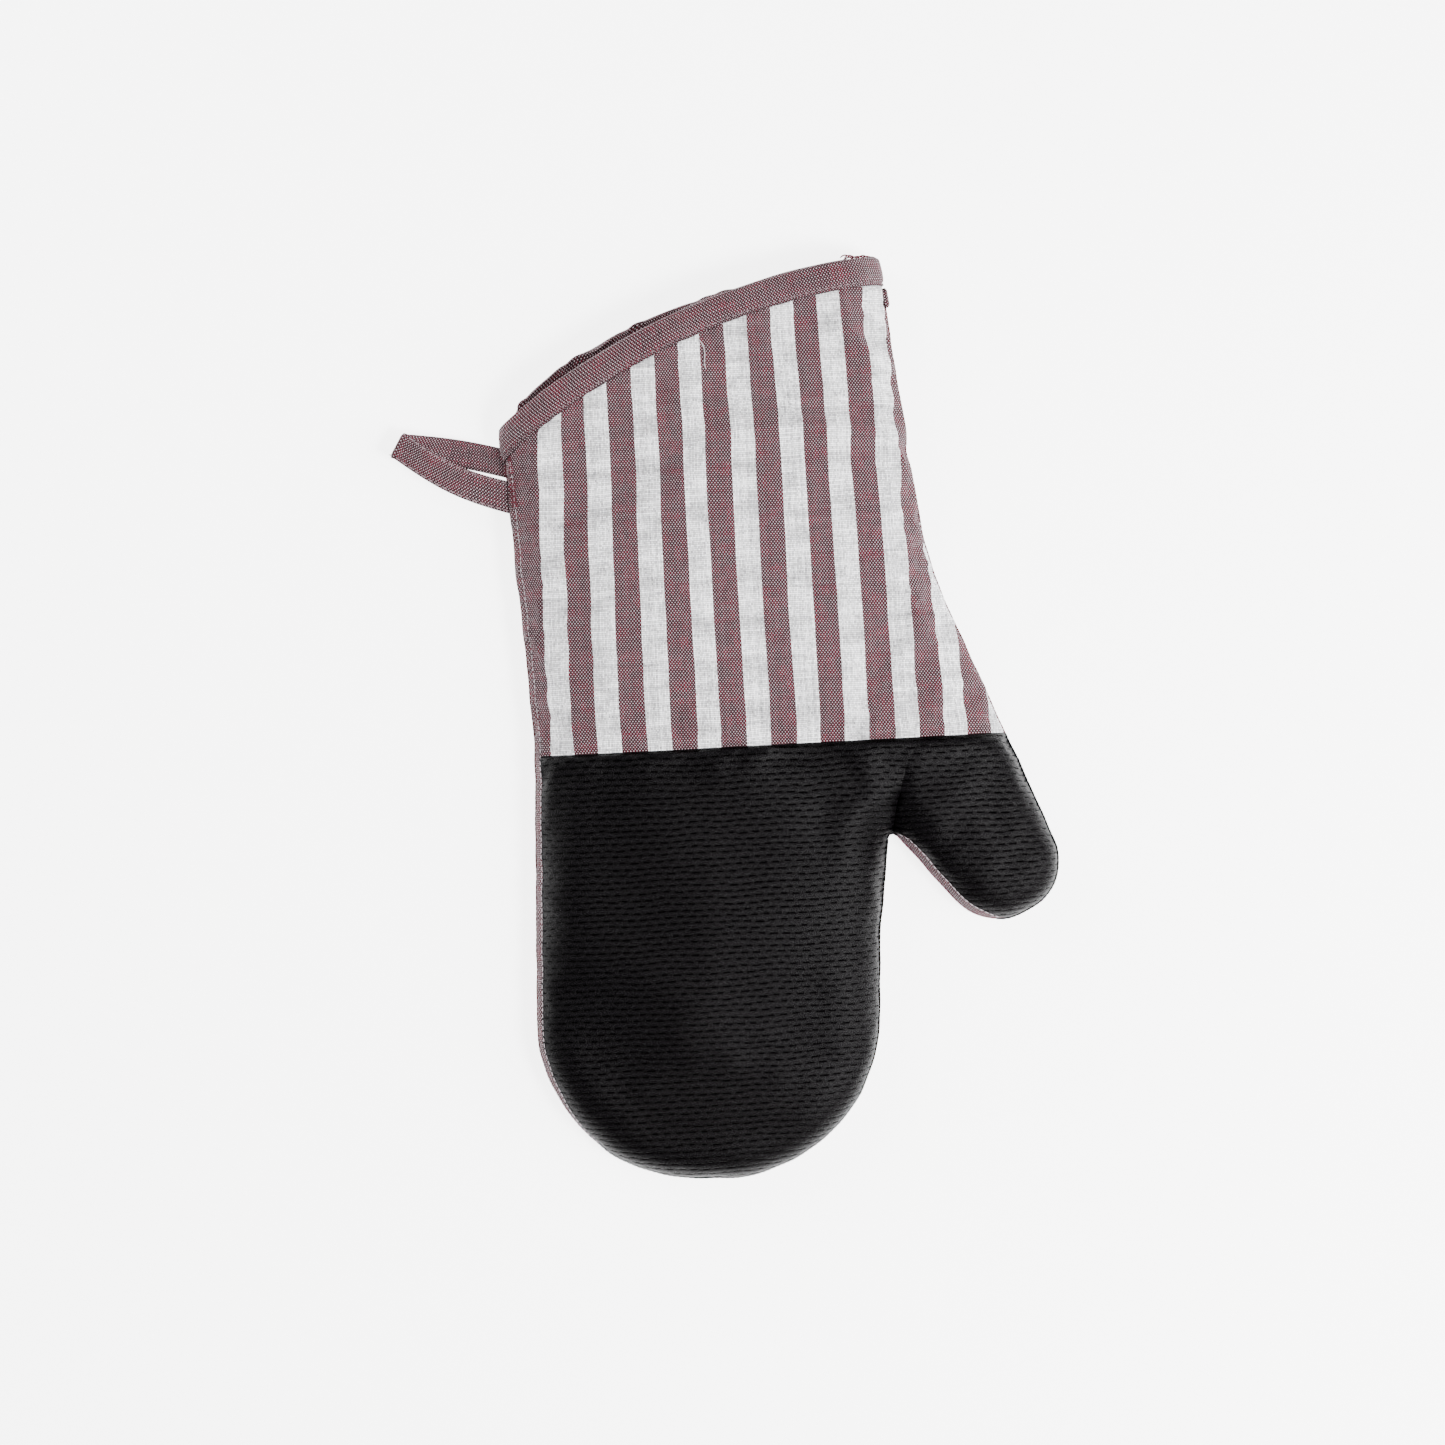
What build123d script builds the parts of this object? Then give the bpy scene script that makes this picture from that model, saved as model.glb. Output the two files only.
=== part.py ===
"""Quilted oven mitt for the left hand, in millimetres.

The mitt lies on its back on the floor plane z = 0 with the palm side up.
+Y runs from the fingertips to the cuff, +X points to the thumb's side.
The origin is on the back face, under the middle of the seam that joins the
striped cuff panel to the grip panel.
"""

import os
from math import atan2, cos, degrees, sin

from build123d import *

os.makedirs("parts", exist_ok=True)

# Cloth thicknesses: outer cloth, wadding and lining are sewn up in that order
SKIN = 1.2
WADDING = 4.0
LINING = 0.8
WALL = SKIN + WADDING + LINING
BINDING = 0.5
THREAD = 0.4

# The padded form: a flat back, a crowned palm side and a seam all round
HEIGHT = 27.0
SEAM_Z = 8.5
PALM_ROUND = 17.0
BACK_ROUND = 7.0

# Outline of the sewn edge: each corner with the radius that rounds it
OUTLINE = [
    ((66.6, 199.6), 0.0),  # past the mouth, thumb side
    ((81.6, 62.9), 107.0),  # wrist, thumb side
    ((128.0, -54.3), 19.6),  # outer corner of the thumb's tip
    ((97.0, -72.6), 19.6),  # inner corner of the thumb's tip
    ((63.0, -31.5), 1.5),  # crotch between thumb and fingers
    ((57.9, -68.1), 54.0),  # root of the fingers, thumb side
    ((52.2, -157.5), 58.0),  # fingertip, thumb side
    ((-69.4, -151.2), 58.0),  # fingertip, outer side
    ((-62.2, 6.1), 214.0),  # wrist, outer side
    ((-72.5, 185.4), 0.0),  # past the mouth, outer side
]

# The mouth is cut on one long arc about this centre
MOUTH_CENTRE = (96.1, -100.0)
MOUTH_RADIUS = 273.1
BINDING_WIDTH = 9.5
STITCH_LENGTH = 2.6
STITCH_WIDTH = 0.8
STITCH_PITCH = 3.6
STITCH_INSET = 1.3
STITCH_START = 94.0  # degrees about the mouth's centre, at the thumb side's edge
STITCH_COUNT = 39

# Where the mitt bends: across the fingers, and along the root of the thumb
BODY_GAP = 0.3
FINGER_Y = -52.0
CROTCH = (63.6, -33.6)
THUMB_ROOT_OUTER = (107.5, -3.0)
THUMB_LENGTH = 70.0  # from its root to past its tip
THUMB_LEAN = 8.0  # how far the thumb's side leans out of the crotch over that length
FINGER_MARGIN = 2.0  # the fingers' region ends this far past the crotch

# Hanging loop: one strip folded at its tip, with the two legs spread at the seam
LOOP_TIP = [(-107.6, 109.7), (-102.5, 118.3)]
LOOP_UPPER_ROOT = [(-66.0, 98.8), (-66.0, 87.5)]
LOOP_LOWER_ROOT = [(-66.0, 110.7), (-66.0, 100.5)]
LOOP_THICKNESS = 1.6
LOOP_GAP = 6.4
LOOP_LENGTH = 47.5
LOOP_CLEARANCE = 1.6
BARTACK_Y = [90.5, 107.0]
BARTACK_WIDTH = 1.5
BARTACK_HEIGHT = 5.0

REACH = 400.0  # larger than the mitt every way, for cutting tools


def outline_face(depth):
    """The sewn outline as a sketch, brought in by depth."""
    corners = [corner for corner, _ in OUTLINE]
    rounds = [radius for _, radius in OUTLINE]
    with BuildSketch(Plane.XY.offset(depth)) as face:
        with BuildLine():
            FilletPolyline(*corners, radius=rounds, close=True)
        make_face()
        if depth:
            offset(amount=-depth)
    return face.sketch


def padded_form(depth):
    """The mitt's whole form, still closed at the cuff, brought in by depth all over."""
    with BuildPart() as form:
        add(outline_face(depth))
        extrude(amount=HEIGHT - 2 * depth)
        fillet(form.edges().group_by(Axis.Z)[-1], PALM_ROUND - depth)
        fillet(form.edges().group_by(Axis.Z)[0], BACK_ROUND - depth)
    return form.part


def mouth_ring(inner, outer):
    """A tall ring about the mouth's centre, or a disc where inner is 0."""
    with BuildPart() as ring:
        with BuildSketch(Plane.XY.offset(-REACH / 2)):
            with Locations(MOUTH_CENTRE):
                Circle(outer)
                if inner:
                    Circle(inner, mode=Mode.SUBTRACT)
        extrude(amount=REACH)
    return ring.part


def prism(points, bottom=-REACH / 2, top=REACH / 2):
    """A tall prism over a polygon."""
    with BuildPart() as block:
        with BuildSketch(Plane.XY.offset(bottom)):
            with BuildLine():
                Polyline(*points, close=True)
            make_face()
        extrude(amount=top - bottom)
    return block.part


def save(piece, label):
    """Name a finished sub-part and write it."""
    piece.part.label = label
    export_step(piece.part, f"parts/{label}.step")


def write_shell(label, outer, inner, keeps, cuts):
    """Write the cloth between two forms, inside every keep and outside every cut."""
    with BuildPart() as shell:
        add(outer)
        add(inner, mode=Mode.SUBTRACT)
        for keep in keeps:
            add(keep, mode=Mode.INTERSECT)
        for cut in cuts:
            add(cut, mode=Mode.SUBTRACT)
    save(shell, label)


# Forms at the faces between the layers
thread_form = padded_form(-THREAD)
outer_form = padded_form(0.0)
skin_inside = padded_form(SKIN)
wadding_inside = padded_form(SKIN + WADDING)
hand_space = padded_form(WALL)

# The two halves that the side seam joins
SQUARE = [(-REACH, -REACH), (REACH, -REACH), (REACH, REACH), (-REACH, REACH)]
front_half = prism(SQUARE, SEAM_Z, REACH)
back_half = prism(SQUARE, -REACH, SEAM_Z)
inside_mouth = mouth_ring(0.0, MOUTH_RADIUS - BINDING)

# The three regions that bend against each other, half a gap short of each cut
HALF_GAP = BODY_GAP / 2
root_angle = atan2(THUMB_ROOT_OUTER[1] - CROTCH[1], THUMB_ROOT_OUTER[0] - CROTCH[0])
thumb_shift = (HALF_GAP * sin(root_angle), -HALF_GAP * cos(root_angle))


def thumb_region(side):
    """The thumb's side of its root; side is 1 for the thumb, -1 for what it leaves."""
    shift_x = side * thumb_shift[0]
    shift_y = side * thumb_shift[1]
    root_x = CROTCH[0] + shift_x
    root_y = CROTCH[1] + shift_y
    far_x = CROTCH[0] + 2 * THUMB_LENGTH
    low_y = CROTCH[1] - THUMB_LENGTH
    return prism(
        [
            (root_x, root_y),
            (CROTCH[0] + THUMB_LEAN, low_y),
            (far_x, low_y),
            (far_x, CROTCH[1]),
            (root_x + THUMB_LENGTH * cos(root_angle), root_y + THUMB_LENGTH * sin(root_angle)),
        ]
    )


def finger_region(side):
    """The fingers' side of the bend; side is 1 for the fingers, -1 for what they leave."""
    edge = FINGER_Y - side * HALF_GAP
    right = CROTCH[0] + FINGER_MARGIN
    return prism([(-REACH, edge), (-REACH, -REACH), (right, -REACH), (right, edge)])


fingers_keep = finger_region(1)
thumb_keep = thumb_region(1)
fingers_cut = finger_region(-1)
thumb_cut = thumb_region(-1)
cuff_side = prism([(-REACH, 0), (REACH, 0), (REACH, REACH), (-REACH, REACH)])
seam_band = prism(SQUARE, SEAM_Z - THREAD, SEAM_Z + THREAD)

# Everything that the folded binding holds between its two legs
with BuildPart() as bound_layers:
    add(padded_form(BINDING))
    add(padded_form(WALL - BINDING), mode=Mode.SUBTRACT)
    add(inside_mouth, mode=Mode.INTERSECT)

# Binding: a folded strip that closes the mouth's raw edges, outside and inside
with BuildPart() as cuff_binding:
    add(outer_form)
    add(hand_space, mode=Mode.SUBTRACT)
    add(mouth_ring(MOUTH_RADIUS - BINDING_WIDTH, MOUTH_RADIUS), mode=Mode.INTERSECT)
    add(bound_layers.part, mode=Mode.SUBTRACT)
save(cuff_binding, "cuff_binding")

# The bodies: what each keeps of the sewn layers, and what is cut away from it
bodies = {
    "hand": ([inside_mouth], [fingers_cut, thumb_cut, cuff_binding.part]),
    "fingers": ([fingers_keep], []),
    "thumb": ([thumb_keep], []),
}

for body, (keeps, cuts) in bodies.items():
    # Wadding and lining, one pair for the palm side and one for the back
    for side, half in (("front", front_half), ("back", back_half)):
        write_shell(f"{side}_wadding_{body}", skin_inside, wadding_inside, [half, *keeps], cuts)
        write_shell(f"{side}_lining_{body}", wadding_inside, hand_space, [half, *keeps], cuts)
    # Outer cloth: plain quilted back, and the grip panel that ends at the cuff seam
    write_shell(f"back_panel_{body}", outer_form, skin_inside, [back_half, *keeps], cuts)
    write_shell(f"grip_panel_{body}", outer_form, skin_inside, [front_half, *keeps], [*cuts, cuff_side])
    # Whipping thread that stands proud all along the side seam
    write_shell(f"side_seam_{body}", thread_form, outer_form, [seam_band, *keeps], cuts)

# Striped panel between the cuff seam and the binding
keeps, cuts = bodies["hand"]
write_shell("striped_cuff_panel", outer_form, skin_inside, [front_half, cuff_side, *keeps], cuts)

# Topstitching that holds the binding: separate stitches along an arc on the palm side
stitch_radius = MOUTH_RADIUS - BINDING_WIDTH + STITCH_INSET
stitch_sweep = degrees(STITCH_PITCH / stitch_radius) * STITCH_COUNT
with BuildPart() as stitch_comb:
    with BuildSketch(Plane.XY.offset(SEAM_Z + 2 * THREAD)):
        with Locations(MOUTH_CENTRE):
            with PolarLocations(stitch_radius, STITCH_COUNT, STITCH_START, stitch_sweep):
                Rectangle(STITCH_WIDTH, STITCH_LENGTH)
    extrude(amount=HEIGHT)
write_shell("binding_stitching", thread_form, outer_form, [stitch_comb.part], [])

# Bar tacks that hold the two ends of the hanging loop in the side seam
with BuildPart() as tack_band:
    with BuildSketch(Plane.XY.offset(SEAM_Z + 2 * THREAD)):
        for tack_y in BARTACK_Y:
            with Locations((LOOP_UPPER_ROOT[0][0], tack_y)):
                Rectangle(2 * BARTACK_HEIGHT, BARTACK_WIDTH)
    extrude(amount=BARTACK_HEIGHT)
write_shell("loop_bartacks", thread_form, outer_form, [tack_band.part], [])

# Hanging loop: two bowed legs drawn edge-on, each kept over its own strip of plan
crease_angle = atan2(LOOP_TIP[1][1] - LOOP_TIP[0][1], LOOP_TIP[1][0] - LOOP_TIP[0][0])
crease = Vector(cos(crease_angle), sin(crease_angle), 0)
along_loop = Vector(-sin(crease_angle), cos(crease_angle), 0)
loop_plane = Plane(
    origin=Vector(*LOOP_TIP[0], SEAM_Z) - crease * REACH / 4,
    x_dir=along_loop,
    z_dir=crease,
)
half_bow = LOOP_GAP / 2 + LOOP_THICKNESS
tip_in = -2 * LOOP_THICKNESS
root_in = -LOOP_LENGTH + 2 * LOOP_THICKNESS
middle = (tip_in + root_in) / 2
upper_strip = prism([*LOOP_TIP, *LOOP_UPPER_ROOT], SEAM_Z, REACH)
lower_strip = prism([*LOOP_TIP, *LOOP_LOWER_ROOT], -REACH, SEAM_Z)

with BuildPart() as loop_strips:
    add(upper_strip)
    add(lower_strip)

with BuildPart() as hanging_loop:
    with BuildSketch(loop_plane):
        with BuildLine():
            ThreePointArc((0, 0), (-LOOP_LENGTH / 2, half_bow), (-LOOP_LENGTH, 0))
            ThreePointArc((-LOOP_LENGTH, 0), (-LOOP_LENGTH / 2, -half_bow), (0, 0))
        make_face()
        with BuildLine():
            ThreePointArc((tip_in, 0), (middle, LOOP_GAP / 2), (root_in, 0))
            ThreePointArc((root_in, 0), (middle, -LOOP_GAP / 2), (tip_in, 0))
        make_face(mode=Mode.SUBTRACT)
    extrude(amount=REACH / 2)
    add(loop_strips.part, mode=Mode.INTERSECT)
    with BuildSketch(Plane.XY.offset(-REACH / 2)):
        add(outline_face(0.0))
        offset(amount=LOOP_CLEARANCE)
    extrude(amount=REACH, mode=Mode.SUBTRACT)
save(hanging_loop, "hanging_loop")
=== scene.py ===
"""The looks of the quilted oven mitt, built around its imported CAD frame.

Lengths are in millimetres in the mitt's own frame until a mesh is made: +Y runs from the
fingertips to the cuff, +X points to the thumb's side, and the back lies on the floor, z = 0.
"""

from math import acos, atan2, ceil, cos, pi, radians, sin, sqrt, tan

import bpy
import numpy as np
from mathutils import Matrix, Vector
from mathutils.bvhtree import BVHTree
from mathutils.geometry import delaunay_2d_cdt


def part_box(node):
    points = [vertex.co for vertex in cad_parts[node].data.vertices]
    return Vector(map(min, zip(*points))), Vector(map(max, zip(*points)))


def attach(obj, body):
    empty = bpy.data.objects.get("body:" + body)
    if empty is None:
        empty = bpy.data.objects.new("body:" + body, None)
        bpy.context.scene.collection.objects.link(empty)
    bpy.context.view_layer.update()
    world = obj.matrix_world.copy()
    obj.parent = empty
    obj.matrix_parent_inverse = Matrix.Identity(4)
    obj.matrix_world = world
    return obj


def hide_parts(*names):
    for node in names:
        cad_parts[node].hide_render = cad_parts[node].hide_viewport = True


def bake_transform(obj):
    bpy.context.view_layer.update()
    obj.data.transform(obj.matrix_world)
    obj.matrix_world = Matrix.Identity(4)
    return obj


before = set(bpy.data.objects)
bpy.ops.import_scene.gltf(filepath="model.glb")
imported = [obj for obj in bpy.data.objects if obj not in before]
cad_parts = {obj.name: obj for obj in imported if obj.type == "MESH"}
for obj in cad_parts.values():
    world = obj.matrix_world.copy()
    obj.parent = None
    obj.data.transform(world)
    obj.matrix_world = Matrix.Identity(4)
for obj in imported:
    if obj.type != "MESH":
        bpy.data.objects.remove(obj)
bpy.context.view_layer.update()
MM = 0.001

# ---- dimensions

# The sewn outline, as in the CAD: each corner with the radius that rounds it
CORNERS = [
    ((66.6, 199.6), 0.0),
    ((81.6, 62.9), 107.0),
    ((128.0, -54.3), 19.6),
    ((97.0, -72.6), 19.6),
    ((63.0, -31.5), 1.5),
    ((57.9, -68.1), 54.0),
    ((52.2, -157.5), 58.0),
    ((-69.4, -151.2), 58.0),
    ((-62.2, 6.1), 214.0),
    ((-72.5, 185.4), 0.0),
]
MOUTH_CENTRE = np.array([96.1, -100.0])
MOUTH_RADIUS = 273.1
BINDING_WIDTH = 9.5
CROTCH = np.array([63.6, -33.6])
EDGE_DENT = np.array([77.6, 102.0])  # the one deep pucker in the cuff's side seam

SEAM_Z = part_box("front_wadding_hand")[0].z / MM  # the side seam's height
TOP_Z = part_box("grip_panel_fingers")[1].z / MM  # the crown of the palm side

STEP = 2.6  # spacing of points along an edge
GRID = 3.1  # spacing of points over a panel
RINGS = [0.7, 1.8, 3.3, 5.2, 7.6]  # rows of points along the edge, by distance in

CLOTH = 0.9  # outer cloth
PADDING = 3.6  # wadding
LINING = 0.7

EDGE_WIDTH = 19.0  # how far in the palm side's padded edge turns over
EDGE_RISE = 11.8
CROWN = TOP_Z - SEAM_Z - EDGE_RISE - 0.8
CROWN_WIDTH = 38.0
THUMB_DROP = 4.5  # how much thinner the mitt is at the thumb
TIP_DROP = 3.0  # and at the fingertips
BACK_EDGE = 10.0  # how far in the back's edge turns over

BACK_SLIP = 5.0  # how far the back layer shows past the front one at the mouth

STRIPE_PITCH = 17.6
STRIPE_WHITE = 8.5
FIRST_STRIPE = -3  # the white stripe nearest the outer edge, counted from x = 0

# ---- outline


def unit(v):
    return v / max(np.linalg.norm(v), 1e-9)


def units(rows):
    """Each row brought to length one."""
    return rows / np.maximum(np.linalg.norm(rows, axis=-1), 1e-9)[..., None]


def along_line(line):
    """How far along the line each of its points is."""
    return np.concatenate([[0], np.cumsum(np.linalg.norm(np.diff(line, axis=0), axis=1))])


def rounded(corners):
    """The closed polygon's points, with an arc at each corner that has a radius."""
    points = []
    for i, (corner, radius) in enumerate(corners):
        here = np.array(corner)
        before = unit(np.array(corners[i - 1][0]) - here)
        after = unit(np.array(corners[(i + 1) % len(corners)][0]) - here)
        if radius == 0:
            points.append(here)
            continue
        half = acos(np.clip(before @ after, -1, 1)) / 2
        centre = here + unit(before + after) * radius / sin(half)
        first = here + before * radius / tan(half) - centre
        last = here + after * radius / tan(half) - centre
        start = atan2(first[1], first[0])
        turn = (atan2(last[1], last[0]) - start + pi) % (2 * pi) - pi
        count = max(3, ceil(abs(turn) * radius / STEP))
        for t in np.linspace(0, 1, count + 1):
            angle = start + turn * t
            points.append(centre + radius * np.array([cos(angle), sin(angle)]))
    return np.array(points)


def spaced(points, step):
    """The same open line with points about step apart."""
    points = np.asarray(points, float)
    along = along_line(points)
    count = max(2, int(round(along[-1] / step)) + 1)
    return points_at(np.linspace(0, along[-1], count), along, points)


def points_at(places, along, points):
    """The points at those places along a line."""
    return np.column_stack([np.interp(places, along, column) for column in points.T])


def from_mouth(points):
    """How far inside the mouth's edge each point is."""
    return MOUTH_RADIUS - np.linalg.norm(points[:, :2] - MOUTH_CENTRE, axis=1)


def cut_at_mouth(line):
    """The stretch of the long sewn line that is inside the mouth's edge, ending on it."""
    inside = from_mouth(line)
    kept = np.flatnonzero(inside > 0)
    first, last = kept[0], kept[-1]

    def crossing(out, within):
        share = inside[out] / (inside[out] - inside[within])
        return line[out] + share * (line[within] - line[out])

    return np.vstack([crossing(first - 1, first), line[first : last + 1], crossing(last + 1, last)])


def nearest_on(points, line):
    """Each point's distance to the line, its nearest point there, and how far along that is."""
    a, b = line[:-1], line[1:]
    run = b - a
    square = np.maximum((run**2).sum(1), 1e-12)
    start = np.concatenate([[0], np.cumsum(np.sqrt(square))])[:-1]
    distance = np.empty(len(points))
    foot = np.empty((len(points), 2))
    place = np.empty(len(points))
    for low in range(0, len(points), 2000):
        p = points[low : low + 2000, None, :2]
        t = np.clip(((p - a) * run).sum(2) / square, 0, 1)
        near = a + t[..., None] * run
        gap = np.linalg.norm(p - near, axis=2)
        best = gap.argmin(1)
        rows = np.arange(len(best))
        distance[low : low + 2000] = gap[rows, best]
        foot[low : low + 2000] = near[rows, best]
        place[low : low + 2000] = start[best] + t[rows, best] * np.sqrt(square[best])
    return distance, foot, place


def waviness(x, y, scale, seed):
    """Smooth, repeatable unevenness between about -1 and 1, with features of that scale."""
    rng = np.random.default_rng(seed)
    total = np.zeros(np.broadcast(x, y).shape)
    for _ in range(9):
        heading = rng.uniform(0, 2 * pi)
        wave = 2 * pi / (scale * rng.uniform(0.7, 1.6))
        total += np.sin(wave * (x * cos(heading) + y * sin(heading)) + rng.uniform(0, 2 * pi))
    return total / 4.5


def uneven_edge(line):
    """The sewn line with the small dents and puckers of a real seam."""
    calm = 1 - np.exp(-((np.linalg.norm(line - CROTCH, axis=1) / 14.0) ** 2))
    shift = 0.28 * waviness(along_line(line), 0, 13.0, 5) * calm
    shift -= 1.3 * np.exp(-((np.linalg.norm(line - EDGE_DENT, axis=1) / 4.5) ** 2))
    return line - inward(line) * shift[:, None]


def inward(line):
    """Unit normals of the sewn line that point into the mitt."""
    along = np.gradient(line, axis=0)
    return units(np.column_stack([along[:, 1], -along[:, 0]]))


LONG_EDGE = uneven_edge(spaced(rounded(CORNERS), STEP))
SEWN = cut_at_mouth(LONG_EDGE)
RIGHT_CORNER, LEFT_CORNER = SEWN[0], SEWN[-1]


def mouth_line(inset=0.0, ends=(LEFT_CORNER, RIGHT_CORNER), count=None):
    """Points along the mouth's arc, at that distance inside it, from the left to the right."""
    left, right = [atan2(*(end - MOUTH_CENTRE)[::-1]) for end in ends]
    count = count or int(abs(right - left) * MOUTH_RADIUS / STEP)
    angles = np.linspace(left, right, count + 1)
    return MOUTH_CENTRE + (MOUTH_RADIUS - inset) * np.column_stack([np.cos(angles), np.sin(angles)])


# ---- surface form

CREASE = spaced([CROTCH + [0.4, -1.5], (66.4, -22.1), (69.5, -11.5), (71.5, 0.0)], 1.0)


def smooth(t):
    t = np.clip(t, 0, 1)
    return t * t * (3 - 2 * t)


def edge_rise(d):
    """How high the palm side's rounded edge stands over the seam, by distance in."""
    return EDGE_RISE * (1 - (1 - np.clip(d / EDGE_WIDTH, 0, 1)) ** 2.3) ** (1 / 1.75)


def palm_side(points):
    """Height of the palm side's outer face over each point."""
    x, y = points[:, 0], points[:, 1]
    d, _, place = nearest_on(points, LONG_EDGE)
    z = SEAM_Z + edge_rise(d)
    z += CROWN * (1 - np.exp(-d / CROWN_WIDTH))
    # The mitt is thickest over the palm, and thins towards the thumb and the fingertips
    thin = THUMB_DROP * smooth((x - 56.0) / 64.0) * smooth((40.0 - y) / 60.0)
    thin += TIP_DROP * smooth((-y - 45.0) / 105.0)
    z -= thin * smooth(d / EDGE_WIDTH)
    # The fold that runs up from the crotch
    gap, _, along = nearest_on(points, CREASE)
    fade = smooth(1 - along / 32.0)
    fold = 3.2 * np.exp(-((gap / 1.7) ** 2)) + 2.6 * np.exp(-((gap / 6.0) ** 2))
    z -= fade * fold * smooth(d / 4)
    # The seam between cuff and grip pulls in, and the thicker grip stands a little proud
    z -= 0.9 * np.exp(-((y / 1.5) ** 2)) * smooth(d / 3)
    z += 0.5 * smooth(-y / 1.6) * smooth(d / 5)
    # Slack cloth: broad swells, and puckers drawn in by the side seam
    slack = smooth(d / 14)
    z += slack * 0.55 * waviness(x, y, 46.0, 11)
    z += slack * smooth(y / 10) * 0.42 * waviness(x * 0.55, y, 15.0, 23)
    rim = np.exp(-(((d - 5.0) / 4.5) ** 2)) * (0.5 - 0.32 * smooth(-y / 12))
    z += rim * waviness(place, 0, 10.0, 31)
    # Under the binding the layers are pressed together
    z -= 0.5 * smooth((BINDING_WIDTH + 2.0 - from_mouth(points)) / 3.0) * smooth(d / 4)
    return z


def back_side(points):
    """Height of the back's outer face, which lies on the floor."""
    d, _, _ = nearest_on(points, LONG_EDGE)
    t = np.clip(d / BACK_EDGE, 0, 1)
    z = SEAM_Z * (1 - (1 - (1 - t) ** 2.2) ** (1 / 1.9))
    z += 0.75 * np.exp(-((quilt_distance(points) / 2.0) ** 2)) * smooth(d / 6)
    z += 0.9 * smooth((BINDING_WIDTH + 2.0 - from_mouth(points)) / 2.5)
    return np.maximum(z, 0.05)


QUILT_PITCH = 24.0
QUILT_ANGLES = (radians(47), radians(-43))


def quilt_distance(points):
    """Distance to the nearest row of diamond quilting."""
    nearest = np.full(len(points), 1e9)
    for angle in QUILT_ANGLES:
        across = points[:, 0] * -sin(angle) + points[:, 1] * cos(angle)
        nearest = np.minimum(nearest, np.abs((across / QUILT_PITCH + 0.5) % 1 - 0.5) * QUILT_PITCH)
    return nearest


# ---- the pattern


def turned_over(points):
    """How wide a strip of the back cloth turns over onto the palm side at points of the edge."""
    x, y = points[:, 0], points[:, 1]
    left = (x < 0) * smooth((y + 150) / 40) * 2.2
    thumb = (x > 60) & (y < -30)
    inner = thumb * smooth((CROTCH[0] + 42 - x) / 14) * smooth((x - CROTCH[0] - 0.5) / 5) * 2.3
    # Only the thumb's inner edge: its outer edge lies beyond this line
    inner *= ((x - CROTCH[0]) * 0.76 + (y - CROTCH[1]) * 0.65) < 9
    return np.maximum(left, inner)


def pattern_mesh():
    """One triangle mesh over the whole outline, with an edge along every seam and fold."""
    mouth = mouth_line()
    loop = np.vstack([SEWN, mouth[1:-1]])
    points = [loop]
    inner = inward(SEWN)
    for ring in RINGS:
        row = SEWN + inner * ring
        d, _, _ = nearest_on(row, LONG_EDGE)
        points.append(row[(np.abs(d - ring) < 0.15) & (from_mouth(row) > 1.0)])
    for row_inset in (1.6, 4.0):
        points.append(mouth_line(row_inset)[3:-3])
    xs = np.arange(-75, 130, GRID)
    ys = np.arange(-160, 185, GRID * 0.866)
    grid = np.array([(x + (j % 2) * GRID / 2, y) for j, y in enumerate(ys) for x in xs])
    d, _, _ = nearest_on(grid, LONG_EDGE)
    inside = inside_loop(grid, loop) & (d > RINGS[-1] + 1.6) & (from_mouth(grid) > 5.6)
    clear = (np.abs(grid[:, 1]) > 1.2) & (nearest_on(grid, CREASE)[0] > 1.2)
    points.append(grid[inside & clear])
    lines = [seam_row(), CREASE_ROW, *turned_rows()]
    start = len(np.vstack(points))
    edges = [(i, (i + 1) % len(loop)) for i in range(len(loop))]
    for line in lines:
        points.append(line)
        edges += [(start + i, start + i + 1) for i in range(len(line) - 1)]
        start += len(line)
    cloud = np.vstack(points)
    made = delaunay_2d_cdt([tuple(p) for p in cloud], edges, [list(range(len(loop)))], 1, 1e-4)
    return np.array([tuple(v) for v in made[0]]), np.array([f for f in made[2] if len(f) == 3])


def inside_loop(points, loop):
    """Which points lie inside the closed loop."""
    inside = np.zeros(len(points), bool)
    for a, b in zip(loop, np.roll(loop, -1, axis=0)):
        crosses = (a[1] > points[:, 1]) != (b[1] > points[:, 1])
        at = a[0] + (points[:, 1] - a[1]) * (b[0] - a[0]) / (b[1] - a[1] if b[1] != a[1] else 1e-9)
        inside ^= crosses & (points[:, 0] < at)
    return inside


def edge_x(y, side):
    """Where the sewn edge crosses that height, on the left (side -1) or the right (side 1)."""
    crossings = []
    for a, b in zip(SEWN[:-1], SEWN[1:]):
        if (a[1] > y) != (b[1] > y):
            crossings.append(a[0] + (y - a[1]) * (b[0] - a[0]) / (b[1] - a[1]))
    return min(crossings) if side < 0 else max(crossings)


def seam_row():
    """Points along the seam between cuff and grip, from just outside one edge to the other."""
    return spaced([(edge_x(0.0, -1) - 1.0, 0.0), (edge_x(0.0, 1) + 1.0, 0.0)], STEP)


def turned_rows():
    """The lines where the turned-over strips are sewn down, a strip's width in from the edge."""
    width = turned_over(SEWN)
    rows = []
    for side in (SEWN[:, 0] < 0, SEWN[:, 0] > 60):
        chosen = side & (width > 0.3)
        row = SEWN[chosen] + (inward(SEWN) * width[:, None])[chosen]
        if side[-1]:
            row = np.vstack([row, row[-1] + 1.5 * unit(row[-1] - row[-2])])
        rows.append(row)
    return rows


CREASE_START = SEWN[np.linalg.norm(SEWN - CROTCH, axis=1).argmin()]
CREASE_ROW = spaced(np.vstack([[CREASE_START], CREASE[3:]]), STEP)


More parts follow.
